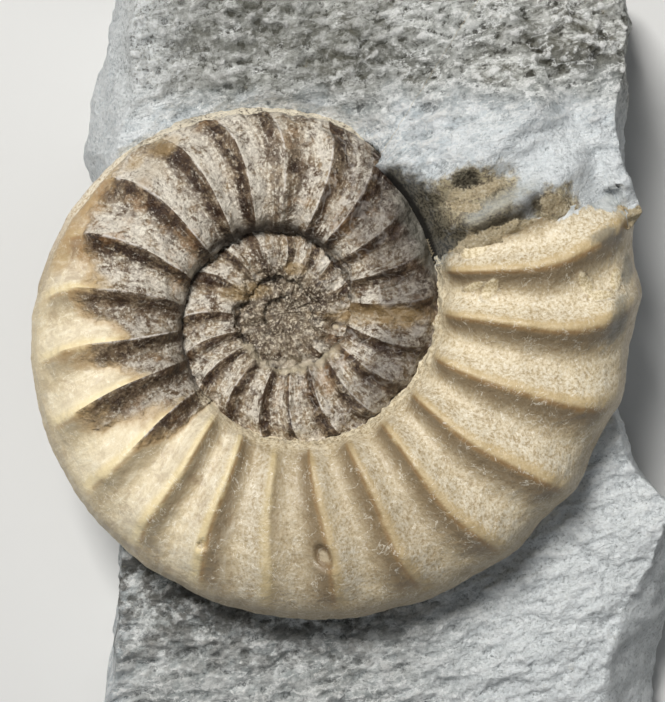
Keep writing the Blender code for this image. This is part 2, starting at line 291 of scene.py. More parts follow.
def section_height(turn, side):
    """Height in mm of the plain whorl over the mid-plane, at side -1 (seam) to 1 (venter) across it."""
    round_off = np.clip(1.0 - np.abs(side) ** SQUARENESS, 0.0, 1.0) ** (1.0 / SQUARENESS)
    return HALF_BREADTH * venter_radius(turn) * (1.0 - OUTWARD_TAPER * (side + 1.0) / 2.0) * round_off


def section(turn, around):
    """(radius, height, across, out, up) of the ribbed whorl: out and up are the way that relief is added."""
    middle, half = half_widths(turn)
    out, up = np.cos(np.radians(around)), np.sin(np.radians(around))
    side = np.sign(out) * np.abs(out) ** (2.0 / SQUARENESS)
    across = (side + 1.0) / 2.0
    added = KEEL_RISE * bump_at(around, 0.0, KEEL_WIDTH_DEG)
    added = added + rib_relief(turn, across) * ramp(around, *RIB_UNDER_DEG)
    height = np.sign(up) * section_height(turn, side)
    return middle + half * side + added * out, height + added * up, across, out, up


def points_at(turn, radius, height):
    """Points in mm in the model's frame."""
    a = np.radians(turn)
    return np.stack([radius * np.cos(a), radius * np.sin(a), MID_PLANE + height], axis=-1)


def even_angles(start, end, count):
    """Angles around the section from start to end, at even steps of arc."""
    fine = np.radians(np.linspace(start, end, 400))
    x = np.sign(np.cos(fine)) * np.abs(np.cos(fine)) ** (2.0 / SQUARENESS)
    z = np.sign(np.sin(fine)) * np.abs(np.sin(fine)) ** (2.0 / SQUARENESS)
    length = np.concatenate([[0.0], np.cumsum(np.hypot(np.diff(x), np.diff(z)))])
    return np.interp(np.linspace(0.0, length[-1], count), length, np.degrees(fine))


def seam_angle(turn):
    """The angle around the section at which a whorl is cut off by the next one's seam."""
    middle, half = half_widths(turn)
    side = (seam_radius(turn + 360.0) - middle) / half
    return math.degrees(math.acos(float(np.clip(side, 0.0, 1.0)) ** (SQUARENESS / 2.0)))


def patches(points, places):
    """1 in the middle of each patch on the face, 0.5 at its edge and 0 well outside, for points in mm."""
    best = np.zeros(points.shape[:-1])
    for x, y, length, width, pointing in places:
        a = math.radians(pointing)
        along = (points[..., 0] - x) * math.cos(a) + (points[..., 1] - y) * math.sin(a)
        beside = (points[..., 1] - y) * math.cos(a) - (points[..., 0] - x) * math.sin(a)
        away = np.sqrt((along / length) ** 2 + (beside / width) ** 2)
        best = np.maximum(best, np.clip(1.0 - away / 2.0, 0.0, 1.0))
    return best


def calcite_margin(turn, across):
    """How far inside the brown calcite a place on the shell is, as a share of the whorl's width."""
    return through(CALCITE_REACH, turn) - across


def shell_wear(points, turn, across):
    """Height in mm of the shell's unevenness: swells, grain, crumbs on the seam, pits, and the worn centre."""
    radius = np.hypot(points[..., 0], points[..., 1])
    brown = ramp(calcite_margin(turn, across), -0.1, 0.1)
    swell = (0.25 + 0.2 * brown) * fractal(points, 6.0, 2, 3.1)
    eroded = 1.0 - ramp(turn, -20.0, 60.0)
    grain = (0.12 + 0.22 * brown + 0.3 * eroded) * fractal(points, 1.6, 3, 11.7)
    near_seam = 1.0 - ramp(across, 0.01, 0.09)
    crumbly = np.clip(ramp(turn, 225.0, 290.0) + 0.5 * ramp(150.0 - turn, 0.0, 30.0), 0.0, 1.0)
    crumbs = SEAM_CRUMBS * np.clip(fractal(points, 1.2, 3, 5.0), -0.3, 1.0) * near_seam * crumbly
    worn = CENTRE_WEAR * fractal(points, 2.4, 3, 21.0) * (1.0 - ramp(radius, 5.5, 10.5))
    flaky = patches(points, FLAKES) + 0.12 * fractal(points, 1.2, 2, 40.0)
    height = swell + grain + crumbs + worn + FLAKE_THICKNESS * ramp(flaky, 0.5, 0.56)
    for x, y, length, width, pointing, depth in PITS:
        height = height - depth * ramp(patches(points, ((x, y, length, width, pointing),)), 0.42, 0.68)
    return height


def centre_point(turn, share):
    """A point on the worn middle of the coil, at a share of the way out to the first whorl's seam."""
    flat = points_at(turn, share * seam_radius(turn), CENTRE_RISE)
    return flat + np.array([0.0, 0.0, CENTRE_GRAIN * float(fractal(flat, 1.7, 4, 33.0))])


def rim_groove(turn, around):
    """Depth in mm of the groove along the inner side of the keel, where the rim shows as a double line."""
    shown = ramp(turn, 45.0, 60.0) * (1.0 - ramp(turn, 140.0, 175.0))
    return GROOVE_DEPTH * shown * bump_at(around, *GROOVE_AROUND_DEG)


def coil_arrays():
    """The shell's points by column and row, with what the colours need: turn, across and rib phase."""
    blocks = []
    for turns_inward in (2, 1, 0):
        last = MOUTH_DEG - 360.0 * turns_inward
        turn = last + (np.arange(-COLUMNS, 0) + 1) * 360.0 / COLUMNS
        if turns_inward == 0:
            top = even_angles(WALL_DEG, VENTER_TOP_DEG, FLANK_ROWS)
            around = np.concatenate([top, even_angles(VENTER_TOP_DEG, UNDER_END_DEG, OUTER_ROWS + 1)[1:]])
            around = np.broadcast_to(around, (COLUMNS, len(around)))
        else:
            around = np.array([even_angles(WALL_DEG, seam_angle(float(t)), INNER_ROWS) for t in turn])
        turn = np.broadcast_to(turn[:, None], around.shape)
        radius, height, across, out, up = section(turn, around)
        plain = points_at(turn, radius, height)
        wear = shell_wear(plain, turn, across) * ramp(around, -40.0, 5.0) - rim_groove(turn, around)
        blocks.append((turn, across, points_at(turn, radius + wear * out, height + wear * up)))
    return blocks


def bridge(points, one, other):
    """Triangles between two chains of corners that differ in number, always across the shorter way."""
    def apart(here, there):
        return np.linalg.norm(points[here[0]] - points[there[0]])

    i, j, made = 0, 0, []
    while i < len(one) - 1 or j < len(other) - 1:
        step_one = step_other = math.inf
        if i < len(one) - 1:
            step_one = apart(one[i + 1], other[j])
        if j < len(other) - 1:
            step_other = apart(one[i], other[j + 1])
        if step_one < step_other:
            made.append((one[i], one[i + 1], other[j]))
            i += 1
        else:
            made.append((one[i], other[j + 1], other[j]))
            j += 1
    return made


def coil_mesh(name):
    """A closed surface over three whorls: a spiral strip whose inner edge is the turn before's outer edge.

    Each column is a list of (point, turn, across). The numbers stay with a face's corner, because the edge
    that two whorls share is the outer edge of the one and the inner edge of the other.
    """
    points, columns = [], []
    for turn, across, where in coil_arrays():
        for i in range(COLUMNS):
            if len(columns) < COLUMNS:
                shared = len(points)
                points.append(centre_point(turn[i, 0], 1.0))
            else:
                shared = columns[-COLUMNS][INNER_ROWS][0]
            column = [(shared, turn[i, 0], 0.0)]
            for row in range(where.shape[1]):
                column.append((len(points), turn[i, row], across[i, row]))
                points.append(where[i, row])
            columns.append(column)
    centre, floor = len(points), len(points) + 1
    points += [points_at(0.0, 0.0, CENTRE_RISE), points_at(0.0, 0.0, -FLOOR_DEPTH)]
    faces = []
    for here, there in zip(columns, columns[1:]):
        if len(here) == len(there):
            faces += zip(here, here[1:], there[1:], there)
    outer_start = 2 * COLUMNS
    last_inner, first_outer = columns[outer_start - 1], columns[outer_start][: FLANK_ROWS + 1]
    faces += bridge(points, last_inner, first_outer)

    def fan(apex, chain, turn):
        return [((apex, turn, 0.0), here, there) for here, there in zip(chain, chain[1:])]

    start, mouth = columns[outer_start], columns[-1]
    ring, step_in, step_out = [column[0] for column in columns[: COLUMNS + 1]], [], []
    for share in np.linspace(1.0, 0.0, CENTRE_RINGS + 1)[1:-1]:
        inner = [(len(points) + i, corner[1], 0.0) for i, corner in enumerate(ring)]
        points += [centre_point(corner[1], share) for corner in ring]
        faces += zip(ring, ring[1:], inner[1:], inner)
        ring = inner
        step_in.insert(0, ring[0])
        step_out.insert(0, ring[-1])
    faces += fan(centre, ring, columns[0][0][1])
    step_in = [(centre, columns[0][0][1], 0.0), *step_in, *columns[0][: INNER_ROWS + 1]]
    faces += bridge(points, step_in, step_out)
    faces += fan(floor, [column[-1] for column in columns[outer_start:]], MOUTH_DEG)
    under_start, under_mouth = start[FLANK_ROWS + 1:], mouth[FLANK_ROWS + 1:]
    faces += zip(under_start, under_start[1:], under_mouth[1:], under_mouth)
    faces += fan(floor, [under_start[-1], under_mouth[-1]], MOUTH_DEG)
    faces += fan(under_mouth[0][0], [*reversed(mouth[: FLANK_ROWS + 1]), *start[FLANK_ROWS : FLANK_ROWS + 2]],
                 MOUTH_DEG)
    mesh = closed_mesh(name, np.array(points), [[corner[0] for corner in face] for face in faces])
    turn, across = np.array([corner[1:] for face in faces for corner in face]).T
    carry(mesh, "CORNER", {"turn": turn, "across": across, "rib": rib_phase(turn, across),
                           "calcite": calcite_margin(turn, across)})
    turn_out(mesh)
    where = np.array(points)
    carry(mesh, "POINT", {"ochre_and_shade": patches(where, OCHRE_PATCHES), "pale": patches(where, PALE_PATCHES),
                          "flake": patches(where, FLAKES), "dark": patches(where, DARK_STONE),
                          "pit": patches(where, [pit[:5] for pit in PITS]),
                          "bare": past_shell_edge(where)})
    return mesh


def past_shell_edge(points):
    """Degrees past the edge of the last cream shell near the mouth; far below 0 away from the mouth."""
    radius = np.hypot(points[..., 0], points[..., 1])
    angle = np.degrees(np.arctan2(points[..., 1], points[..., 0]))
    outside_seam = radius > 0.98 * seam_radius(angle + 360.0)
    near = (angle > 0.0) & (angle < COVER_END_DEG - 360.0) & outside_seam
    return np.where(near, angle + 360.0 - through(SHELL_EDGE, radius), AWAY_FROM_MOUTH_DEG)


def carry(mesh, domain, values):
    """Puts named numbers on the mesh's points or face corners, for its material to read."""
    for name, numbers in values.items():
        made = mesh.attributes.new(name, "FLOAT", domain)
        made.data.foreach_set("value", np.asarray(numbers, np.float32))


def closed_mesh(name, points, faces):
    """A mesh in metres from points in mm, smoothly shaded."""
    mesh = bpy.data.meshes.new(name)
    mesh.from_pydata((points * MM).tolist(), [], faces)
    mesh.update()
    mesh.shade_smooth()
    return mesh


def turn_out(mesh):
    """Turns every face of a closed mesh to face out."""
    bm = bmesh.new()
    bm.from_mesh(mesh)
    bmesh.ops.recalc_face_normals(bm, faces=bm.faces)
    bm.to_mesh(mesh)
    bm.free()


def through(points, y):
    """A line through (y, value) points, read at y."""
    known = np.array(points, float)
    return np.interp(y, known[:, 0], known[:, 1])


def face_height(x, y):
    """Height in mm over the mid-plane of the block's front face, before its lumps."""
    rows = np.array([row for row, _ in FACE_HEIGHTS], float)
    k = np.clip(np.searchsorted(rows, y) - 1, 0, len(rows) - 2)
    read = np.array([np.interp(x, FACE_ACROSS, heights) for _, heights in FACE_HEIGHTS])
    lower = np.take_along_axis(read, k[None, ...], axis=0)[0]
    upper = np.take_along_axis(read, k[None, ...] + 1, axis=0)[0]
    return lower + (upper - lower) * ramp((y - rows[k]) / (rows[k + 1] - rows[k]), 0.0, 1.0)


def lumps(points):
    """The rock's broken unevenness, as in the solids: broad lumps with finer ones on them."""
    flat = points.reshape(-1, 3)
    broad = np.array([noise.noise_vector(p) for p in (flat / ROCK_LUMP_SIZE).tolist()])
    fine = np.array([noise.noise_vector(p) for p in (flat / ROCK_GRAIN_SIZE).tolist()])
    return (broad * ROCK_LUMPS + fine * ROCK_GRAIN).reshape(points.shape)


def block_points(u, v, level, inset):
    """Points in mm of the block: u and v across the face, level 0 at the back to 1 at the face."""
    y = BOTTOM_EDGE + END_INSET * inset + (TOP_EDGE - BOTTOM_EDGE - 2.0 * END_INSET * inset) * v
    left = through(LEFT_OUTLINE, y) + inset * through(LEFT_INSET, y)
    right = through(RIGHT_OUTLINE, y) - inset * through(RIGHT_INSET, y)
    x = left + (right - left) * u
    plain = np.stack([x, y, (MID_PLANE + face_height(x, y)) * level], axis=-1)
    share = FOOT_LUMPS_SHARE + (1.0 - FOOT_LUMPS_SHARE) * np.asarray(level)[..., None]
    return plain + lumps(plain) * share * (np.asarray(level)[..., None] > 0.0)


def rock_relief(points):
    """Height in mm of the rock's own detail: scoops with sharp brows, a pitted band and broken grain."""
    x, y, z = points[..., 0], points[..., 1], points[..., 2]
    rough = roughness_of_rock(points)
    turned = np.stack([0.96 * x + 0.28 * y, (0.96 * y - 0.28 * x) * 2.3, z], axis=-1)
    scoops = 1.0 - 2.6 * np.abs(fractal(turned, 11.0, 3, 31.0))
    brows = fractal(turned, 5.5, 4, 47.0)
    crests = np.clip(1.0 - 5.0 * np.abs(fractal(turned, 9.0, 4, 61.0)), 0.0, 1.0)
    crests = crests * ramp(fractal(points, 7.0, 2, 5.0), -0.25, 0.3)
    slanted = np.stack([0.91 * x - 0.42 * y, (0.91 * y + 0.42 * x) * 1.6, z], axis=-1)
    pits = fractal(slanted, 5.2, 5, 77.0) + 0.3 * fractal(slanted, 2.0, 4, 83.0)
    grain = (0.16 + 0.34 * rough) * fractal(points, 1.3, 3, 53.0)
    broad = (0.8 - 0.4 * rough) * scoops + (0.8 - 0.4 * rough) * brows + 0.55 * crests
    return broad + (0.12 + 0.85 * rough) * pits + grain


def smoothed(grid, times):
    """A grid of numbers, each averaged with its neighbours a number of times."""
    for _ in range(times):
        padded = np.pad(grid, 1, mode="edge")
        grid = (padded[:-2, 1:-1] + padded[2:, 1:-1] + padded[1:-1, :-2] + padded[1:-1, 2:] + 2.0 * grid) / 6.0
    return grid


def mouth_ridge(points):
    """(height in mm, where its painted light goes, where its painted shadow goes) of the broken rib that shows
    in the stone past the shell's edge.
    """
    (x0, y0), (x1, y1) = RIDGE
    length = math.hypot(x1 - x0, y1 - y0)
    along = ((points[..., 0] - x0) * (x1 - x0) + (points[..., 1] - y0) * (y1 - y0)) / length
    over = ((points[..., 1] - y0) * (x1 - x0) - (points[..., 0] - x0) * (y1 - y0)) / length
    over = over + 0.5 * fractal(points, 3.0, 3, 63.0)
    here = ramp(along, -1.5, 1.0) * (1.0 - ramp(along, length - 2.0, length + 1.0))
    height = RIDGE_HEIGHT * here * np.exp(-((over / np.where(over > 0.0, *RIDGE_WIDTHS)) ** 2))
    return height, here * bump_at(over, 1.1, 1.1), here * bump_at(over, -1.5, 1.5)


def roughness_of_rock(points):
    """1 where the stone is rough and pitted, 0 where it is scraped smooth."""
    x, y = points[..., 0], points[..., 1] + 4.5 * fractal(points, 9.0, 3, 95.0)
    top = ramp(y, 26.0, 36.0)
    below = 0.55 * (1.0 - ramp(y, -34.0, -12.0))
    return np.clip(top + below, 0.0, 1.0) * ramp(x, -27.0, -22.0)


def whorl_height(turn, radius):
    """Height in mm of the ribbed whorl over the mid-plane at a radius, for turns past the mouth."""
    middle, half = half_widths(turn)
    side = np.clip((radius - middle) / half, -1.0, 1.0)
    across = (side + 1.0) / 2.0
    return section_height(turn, side) + rib_relief(turn, across) * np.sqrt(1.0 - np.abs(side) ** 3)


def fit_to_shell(points):
    """The block's face where it meets the shell: flush past the mouth, down to a pocket under the rest."""
    x, y, z = points[..., 0], points[..., 1], points[..., 2] - MID_PLANE
    radius = np.hypot(x, y)
    angle = np.degrees(np.arctan2(y, x))
    turn = np.where(angle < MOUTH_TUCK_DEG - 360.0, angle + 360.0, angle)
    turn = np.where(turn < MOUTH_TUCK_DEG - 360.0, turn + 360.0, turn)
    past = turn + 360.0
    covered = turn < COVER_END_DEG - 360.0
    whorl = whorl_height(past, radius)
    whorl = whorl + shell_wear(points_at(past, radius, whorl), past, np.full_like(radius, 0.5))
    whorl = whorl + 0.5 * rock_relief(points) * ramp(past, MOUTH_DEG + 1.0, MOUTH_DEG + 7.0)
    uneven = patches(points, SHELL_ON_STONE) + 0.16 * fractal(points, 2.2, 3, 40.0)
    lumpy = 0.9 * ramp(patches(points, TAN_STONE), 0.3, 0.6) * fractal(points, 2.4, 4, 71.0)
    whorl = whorl + mouth_ridge(points)[0] + 0.4 * ramp(uneven, 0.46, 0.58) + lumpy
    middle, half = half_widths(past)
    side = (radius - middle) / half
    keep = (1.0 - ramp(past, *WHORL_FADE_DEG)) * (1.0 - ramp(side, 0.72, 0.97))
    joined = z + (whorl - z) * keep
    wall = np.where(side < -0.1, whorl, NO_LIMIT)
    joined = np.minimum(joined, wall)
    lap = LAP_HEIGHT - LAP_FALL * np.clip(MOUTH_DEG - LAP_DEG - past, 0.0, None)
    filled = whorl + (joined - whorl) * ramp(side, 0.88, 1.0)
    joined = np.where(past < MOUTH_DEG + LAP_DEG, filled + lap, joined)
    inner_edge = radius > WALL_REACH * seam_radius(past)
    above = covered & inner_edge
    outer = venter_radius(turn)
    middle, half = half_widths(turn)
    side = np.clip((radius - middle) / half, 0.0, 1.0)
    under = -section_height(turn, side)
    floor = -FLOOR_DEPTH + (-section_height(turn, 0.0) + FLOOR_DEPTH) * np.clip(radius / middle, 0.0, 1.0)
    under = np.where(radius > middle, under, floor) - POCKET_GAP
    rise = 1.0 + 3.0 * ramp(radius - outer, 0.0, 6.0)
    beside = np.where((turn < 150.0) & ~covered, np.minimum(z, rise + 0.6 * (radius - outer)), z)
    beside = z + (beside - z) * ramp(turn, 58.0, 70.0)
    in_pocket = (radius < outer - POCKET_EDGE) & ~above
    bare = np.where(in_pocket, np.minimum(beside, under), beside)
    fitted = np.where(above, joined, bare)
    over = np.maximum(fitted - ROCK_SOFT_TOP, 0.0)
    fitted = fitted - over + ROCK_HEADROOM * np.tanh(over / ROCK_HEADROOM)
    return np.stack([x, y, MID_PLANE + fitted], axis=-1)


def block_mesh(name):
    """The limestone block: a fine face, rings down its broken sides, and a flat back."""
    u, v = np.meshgrid(np.linspace(0, 1, ACROSS_CELLS + 1), np.linspace(0, 1, ALONG_CELLS + 1))
    face = block_points(u, v, np.ones_like(u), 1.0)
    relief = rock_relief(face)
    face[..., 2] += relief
    proud = [(relief - smoothed(relief, SMOOTHINGS)).ravel()]
    rim = [(i, 0) for i in range(ACROSS_CELLS)] + [(ACROSS_CELLS, j) for j in range(ALONG_CELLS)]
    rim += [(i, ALONG_CELLS) for i in range(ACROSS_CELLS, 0, -1)] + [(0, j) for j in range(ALONG_CELLS, 0, -1)]
    rim_u = np.array([i for i, _ in rim]) / ACROSS_CELLS
    rim_v = np.array([j for _, j in rim]) / ALONG_CELLS
    levels, insets = zip(*SIDE_LEVELS)
    place_down = np.linspace(0.0, 1.0, SIDE_RINGS + 1)
    steps = np.linspace(0.0, 1.0, len(levels))
    rings = []
    for k in range(1, SIDE_RINGS + 1):
        level = float(np.interp(place_down[k], steps, levels))
        inset = float(np.interp(place_down[k], steps, insets))
        ring = block_points(rim_u, rim_v, np.full_like(rim_u, level), inset)
        out = ring - np.array(BLOCK_MIDDLE)
        out[:, 2] = 0.0
        out /= np.linalg.norm(out, axis=1)[:, None]
        relief = rock_relief(ring)
        ring = ring + out * (SIDE_RELIEF_SHARE * relief * min(1.0, 6.0 * level))[:, None]
        ring[:, 2] = np.maximum(ring[:, 2], LEAST_RING_GAP * (SIDE_RINGS - k)) if k < SIDE_RINGS else 0.0
        rings.append(ring)
        proud.append(0.5 * (relief - smoothed(relief[None, :], SMOOTHINGS)[0]))
    face = fit_to_shell(face)
    count = (ACROSS_CELLS + 1) * (ALONG_CELLS + 1)
    ids = np.arange(count).reshape(ALONG_CELLS + 1, ACROSS_CELLS + 1)
    quads = np.stack([ids[:-1, :-1], ids[:-1, 1:], ids[1:, 1:], ids[1:, :-1]], axis=-1).reshape(-1, 4)
    above = np.array([ids[j, i] for i, j in rim])
    parts = [quads]
    for k in range(SIDE_RINGS):
        below = count + k * len(rim) + np.arange(len(rim))
        parts.append(np.stack([above, below, np.roll(below, -1), np.roll(above, -1)], axis=-1))
        above = below
    points = np.concatenate([face.reshape(-1, 3), *rings, [BLOCK_MIDDLE]])
    faces = np.concatenate(parts).tolist()
    last = len(points) - 1
    faces += [[last, int(b), int(a)] for a, b in zip(above, np.roll(above, -1))]
    mesh = closed_mesh(name, points, faces)
    bare = past_shell_edge(points)
    past_mouth = bare > NEAR_MOUTH_DEG
    shelly = np.where(past_mouth, patches(points, SHELL_ON_STONE), 0.0)
    shelly = shelly + 0.16 * fractal(points, 2.2, 3, 40.0)
    _, lit, under = mouth_ridge(points)
    angle = np.degrees(np.arctan2(points[:, 1], points[:, 0]))
    off_seam = np.maximum(np.hypot(points[:, 0], points[:, 1]) - seam_radius(angle + 360.0), 0.0)
    seam = ramp(angle, 8.0, 16.0) * (1.0 - ramp(angle, 50.0, 60.0))
    high = ramp(points[:, 2], *STAINED_HEIGHT)
    # Dark stain patches, and painted shade in a band along the seam where the stone meets the early whorl.
    stain_and_seam_shade = np.maximum(patches(points, DARK_STONE), 0.8 * seam * bump_at(off_seam, 0.0, 2.2))
    bare = np.where(past_mouth, bare + 20.0 * (1.0 - high), bare)
    carry(mesh, "POINT", {"bare": bare, "shelly": shelly * high,
                          "seam_gap_shade": seam * bump_at(off_seam, 0.0, 0.8), "dark": stain_and_seam_shade * high,
                          "broken": roughness_of_rock(points),
                          "tan": np.where(past_mouth, patches(points, TAN_STONE), 0.0) * high,
                          "proud": np.concatenate([*proud, [0.0]]), "lit": np.where(past_mouth, lit, 0.0),
                          "under": np.where(past_mouth, under, 0.0)})
    return mesh


class Surface:
    """A Principled material, with short calls for the nodes that it is made of. Sizes are millimetres."""

    def __init__(self, name):
        self.material = bpy.data.materials.new(name)
        self.material.use_nodes = True
        self.tree = self.material.node_tree
        self.shader = self.tree.nodes["Principled BSDF"]
        scaled = self.add("ShaderNodeVectorMath", operation="SCALE")
        scaled.inputs["Scale"].default_value = 1.0 / MM
        self.put(scaled.inputs[0], self.add("ShaderNodeTexCoord").outputs["Object"])
        self.place = scaled.outputs[0]

    def add(self, kind, **settings):
        """A new node with its settings."""
        node = self.tree.nodes.new(kind)
        for name, given in settings.items():
            setattr(node, name, given)
        return node

    def put(self, socket, value):
        """Links or sets one input."""
        if isinstance(value, bpy.types.NodeSocket):
            self.tree.links.new(value, socket)
        else:
            socket.default_value = value

    def maths(self, operation, *values):
        """A sum on numbers."""
        node = self.add("ShaderNodeMath", operation=operation)
        for socket, value in zip(node.inputs, values):
            self.put(socket, value)
        return node.outputs[0]

    def times(self, first, *others):
        """A product."""
        for other in others:
            first = self.maths("MULTIPLY", first, other)
        return first

    def stirred(self, value, by, amount):
        """A value moved up and down by noise, as much as amount from end to end."""
        return self.maths("MULTIPLY_ADD", self.maths("SUBTRACT", by, 0.5), amount, value)

    def ramp(self, value, low, high, start=0.0, end=1.0):
        """A smooth step from start at low to end at high."""
        node = self.add("ShaderNodeMapRange", interpolation_type="SMOOTHSTEP")
        for socket, given in zip(node.inputs, (value, low, high, start, end)):
            self.put(socket, given)
        return node.outputs["Result"]

    def peak(self, value, centre, width):
        """1 at the centre, down to 0 at the width to each side."""
        return self.ramp(self.maths("ABSOLUTE", self.maths("SUBTRACT", value, centre)), 0.0, width, 1.0, 0.0)

    def stretched(self, x, y, z, turn_deg=0.0):
        """The place in mm, turned about the coil's axis and divided by a size each way."""
        node = self.add("ShaderNodeMapping", vector_type="TEXTURE")
        node.inputs["Rotation"].default_value = (0.0, 0.0, math.radians(turn_deg))
        node.inputs["Scale"].default_value = (x, y, z)
        self.put(node.inputs["Vector"], self.place)
        return node.outputs[0]

    def noise(self, size, detail=3.0, roughness=0.55, distortion=0.0, place=None, shift=0.0):
        """Noise of about 0 to 1 whose features are size mm across."""
        node = self.add("ShaderNodeTexNoise", noise_dimensions="4D")
        for name, given in (("W", shift), ("Scale", 1.0 / size), ("Detail", detail),
                            ("Roughness", roughness), ("Distortion", distortion)):
            node.inputs[name].default_value = given
        self.put(node.inputs["Vector"], place or self.place)
        return node.outputs["Fac"]

    def mix(self, share, one, two):
        """A colour between two."""
        node = self.add("ShaderNodeMix", data_type="RGBA")
        for i, given in ((0, share), (6, one), (7, two)):
            self.put(node.inputs[i], given)
        return node.outputs[2]

    def over(self, colour, tint, *shares):
        """A colour with a tint, in screen values, laid over it as far as the product of the shares."""
        return self.mix(self.times(*shares), colour, srgb(*tint))

    def read(self, name):
        """A number that the mesh carries."""
        return self.add("ShaderNodeAttribute", attribute_name=name).outputs["Fac"]

    def along_ribs(self, rib, radius, wide, far):
        """A place whose features run along the ribs: wide is their size across in mm, far along."""
        node = self.add("ShaderNodeCombineXYZ")
        self.put(node.inputs[0], self.maths("MULTIPLY", rib, 8.0 / wide))
        self.put(node.inputs[1], self.maths("DIVIDE", radius, far))
        return node.outputs[0]

    def xyz(self):
        """The place in mm as three numbers."""
        node = self.add("ShaderNodeSeparateXYZ")
        self.put(node.inputs[0], self.place)
        return node.outputs[:]

    def relief(self, height, depth, below=None):
        """A bump whose height of 0 to 1 is depth mm."""
        node = self.add("ShaderNodeBump")
        node.inputs["Distance"].default_value = depth * MM
        self.put(node.inputs["Height"], height)
        if below is not None:
            self.put(node.inputs["Normal"], below)
        return node.outputs[0]


def srgb(red, green, blue):
    """A linear colour from 0 to 255 screen values."""
    def linear(value):
        value /= 255.0
        return value / 12.92 if value <= 0.04045 else ((value + 0.055) / 1.055) ** 2.4

    return linear(red), linear(green), linear(blue), 1.0


def shared_noises(s):
    """The patchy, large and fine noise that both materials use."""
    return s.noise(2.6, 5.0, 0.65, shift=4.0), s.noise(9.0, 4.0, 0.6), s.noise(0.45, 4.0, 0.72, shift=8.0)


def cream_colour(s, patchy, large, fine, sandy):
    """The colour of the cream shell before the painted shade and highlights and the stains on its ribs: waxy
    where sandy is 0, speckled where it is 1.
    """
    colour = s.mix(s.ramp(patchy, 0.32, 0.68), srgb(188, 170, 136), srgb(208, 193, 162))
    colour = s.over(colour, (222, 205, 168), s.ramp(large, 0.42, 0.64, 0.0, 0.5))
    light = s.times(s.ramp(fine, 0.52, 0.64), s.ramp(sandy, 0.0, 1.0, 0.25, 0.55))
    colour = s.over(colour, (248, 241, 222), light)
    dark = s.times(s.ramp(fine, 0.48, 0.37), s.ramp(sandy, 0.0, 1.0, 0.2, 0.48))
    return s.over(colour, (128, 106, 74), dark)


def stone_colour(s, streaks, tone, grit, broken, proud):
    """The colour of the blue-grey stone: crumbly white on its ridges with painted highlights, and painted shade
    in its hollows.
    """
    scraped = s.mix(s.ramp(streaks, 0.36, 0.62), srgb(196, 206, 211), srgb(250, 253, 254))
    rough = s.mix(s.ramp(streaks, 0.38, 0.6), srgb(158, 159, 152), srgb(240, 241, 236))
    colour = s.mix(broken, scraped, rough)
    blotch = s.noise(6.0, 6.0, 0.75, place=s.stretched(2.2, 1.0, 1.0, -20.0), shift=41.0)
    dull = s.times(s.ramp(blotch, 0.5, 0.62), s.ramp(broken, 0.2, 0.9, 0.25, 0.85))
    colour = s.mix(dull, colour, s.mix(broken, srgb(160, 168, 170), srgb(98, 95, 80)))
    colour = s.over(colour, (172, 178, 178), s.ramp(tone, 0.45, 0.62, 0.0, 0.25))
    slanted = s.stretched(2.6, 1.0, 1.3, 12.0)
    crumbs = s.peak(s.noise(3.6, 6.0, 0.62, 0.3, slanted, 51.0), 0.5, 0.028)
    # Painted shade: a dark strip beside each white crumb line, read from the same noise shifted a little.
    under = s.noise(3.6, 6.0, 0.62, 0.3, slanted, 51.06)
    shaded = s.mix(broken, srgb(138, 146, 150), srgb(84, 82, 70))
    colour = s.mix(s.ramp(under, 0.5, 0.44, 0.0, 0.3), colour, shaded)
    colour = s.over(colour, (254, 255, 253), crumbs, s.ramp(grit, 0.4, 0.54, 0.2, 0.9))
    # The fine relief read as colour: white on the proud ridges, partly crumbs and partly painted highlight, and
    # painted shade in the hollows.
    share = s.ramp(broken, 0.5, 0.95, 0.8, 1.0)
    ridges = s.stirred(s.times(proud, share), grit, 1.9)
    colour = s.over(colour, (254, 254, 251), s.ramp(ridges, 0.08, 0.5, 0.0, 0.9))
    hollow_shade = s.mix(broken, srgb(124, 131, 134), srgb(54, 52, 42))
    return s.mix(s.ramp(ridges, -0.08, -0.5, 0.0, 0.9), colour, hollow_shade)


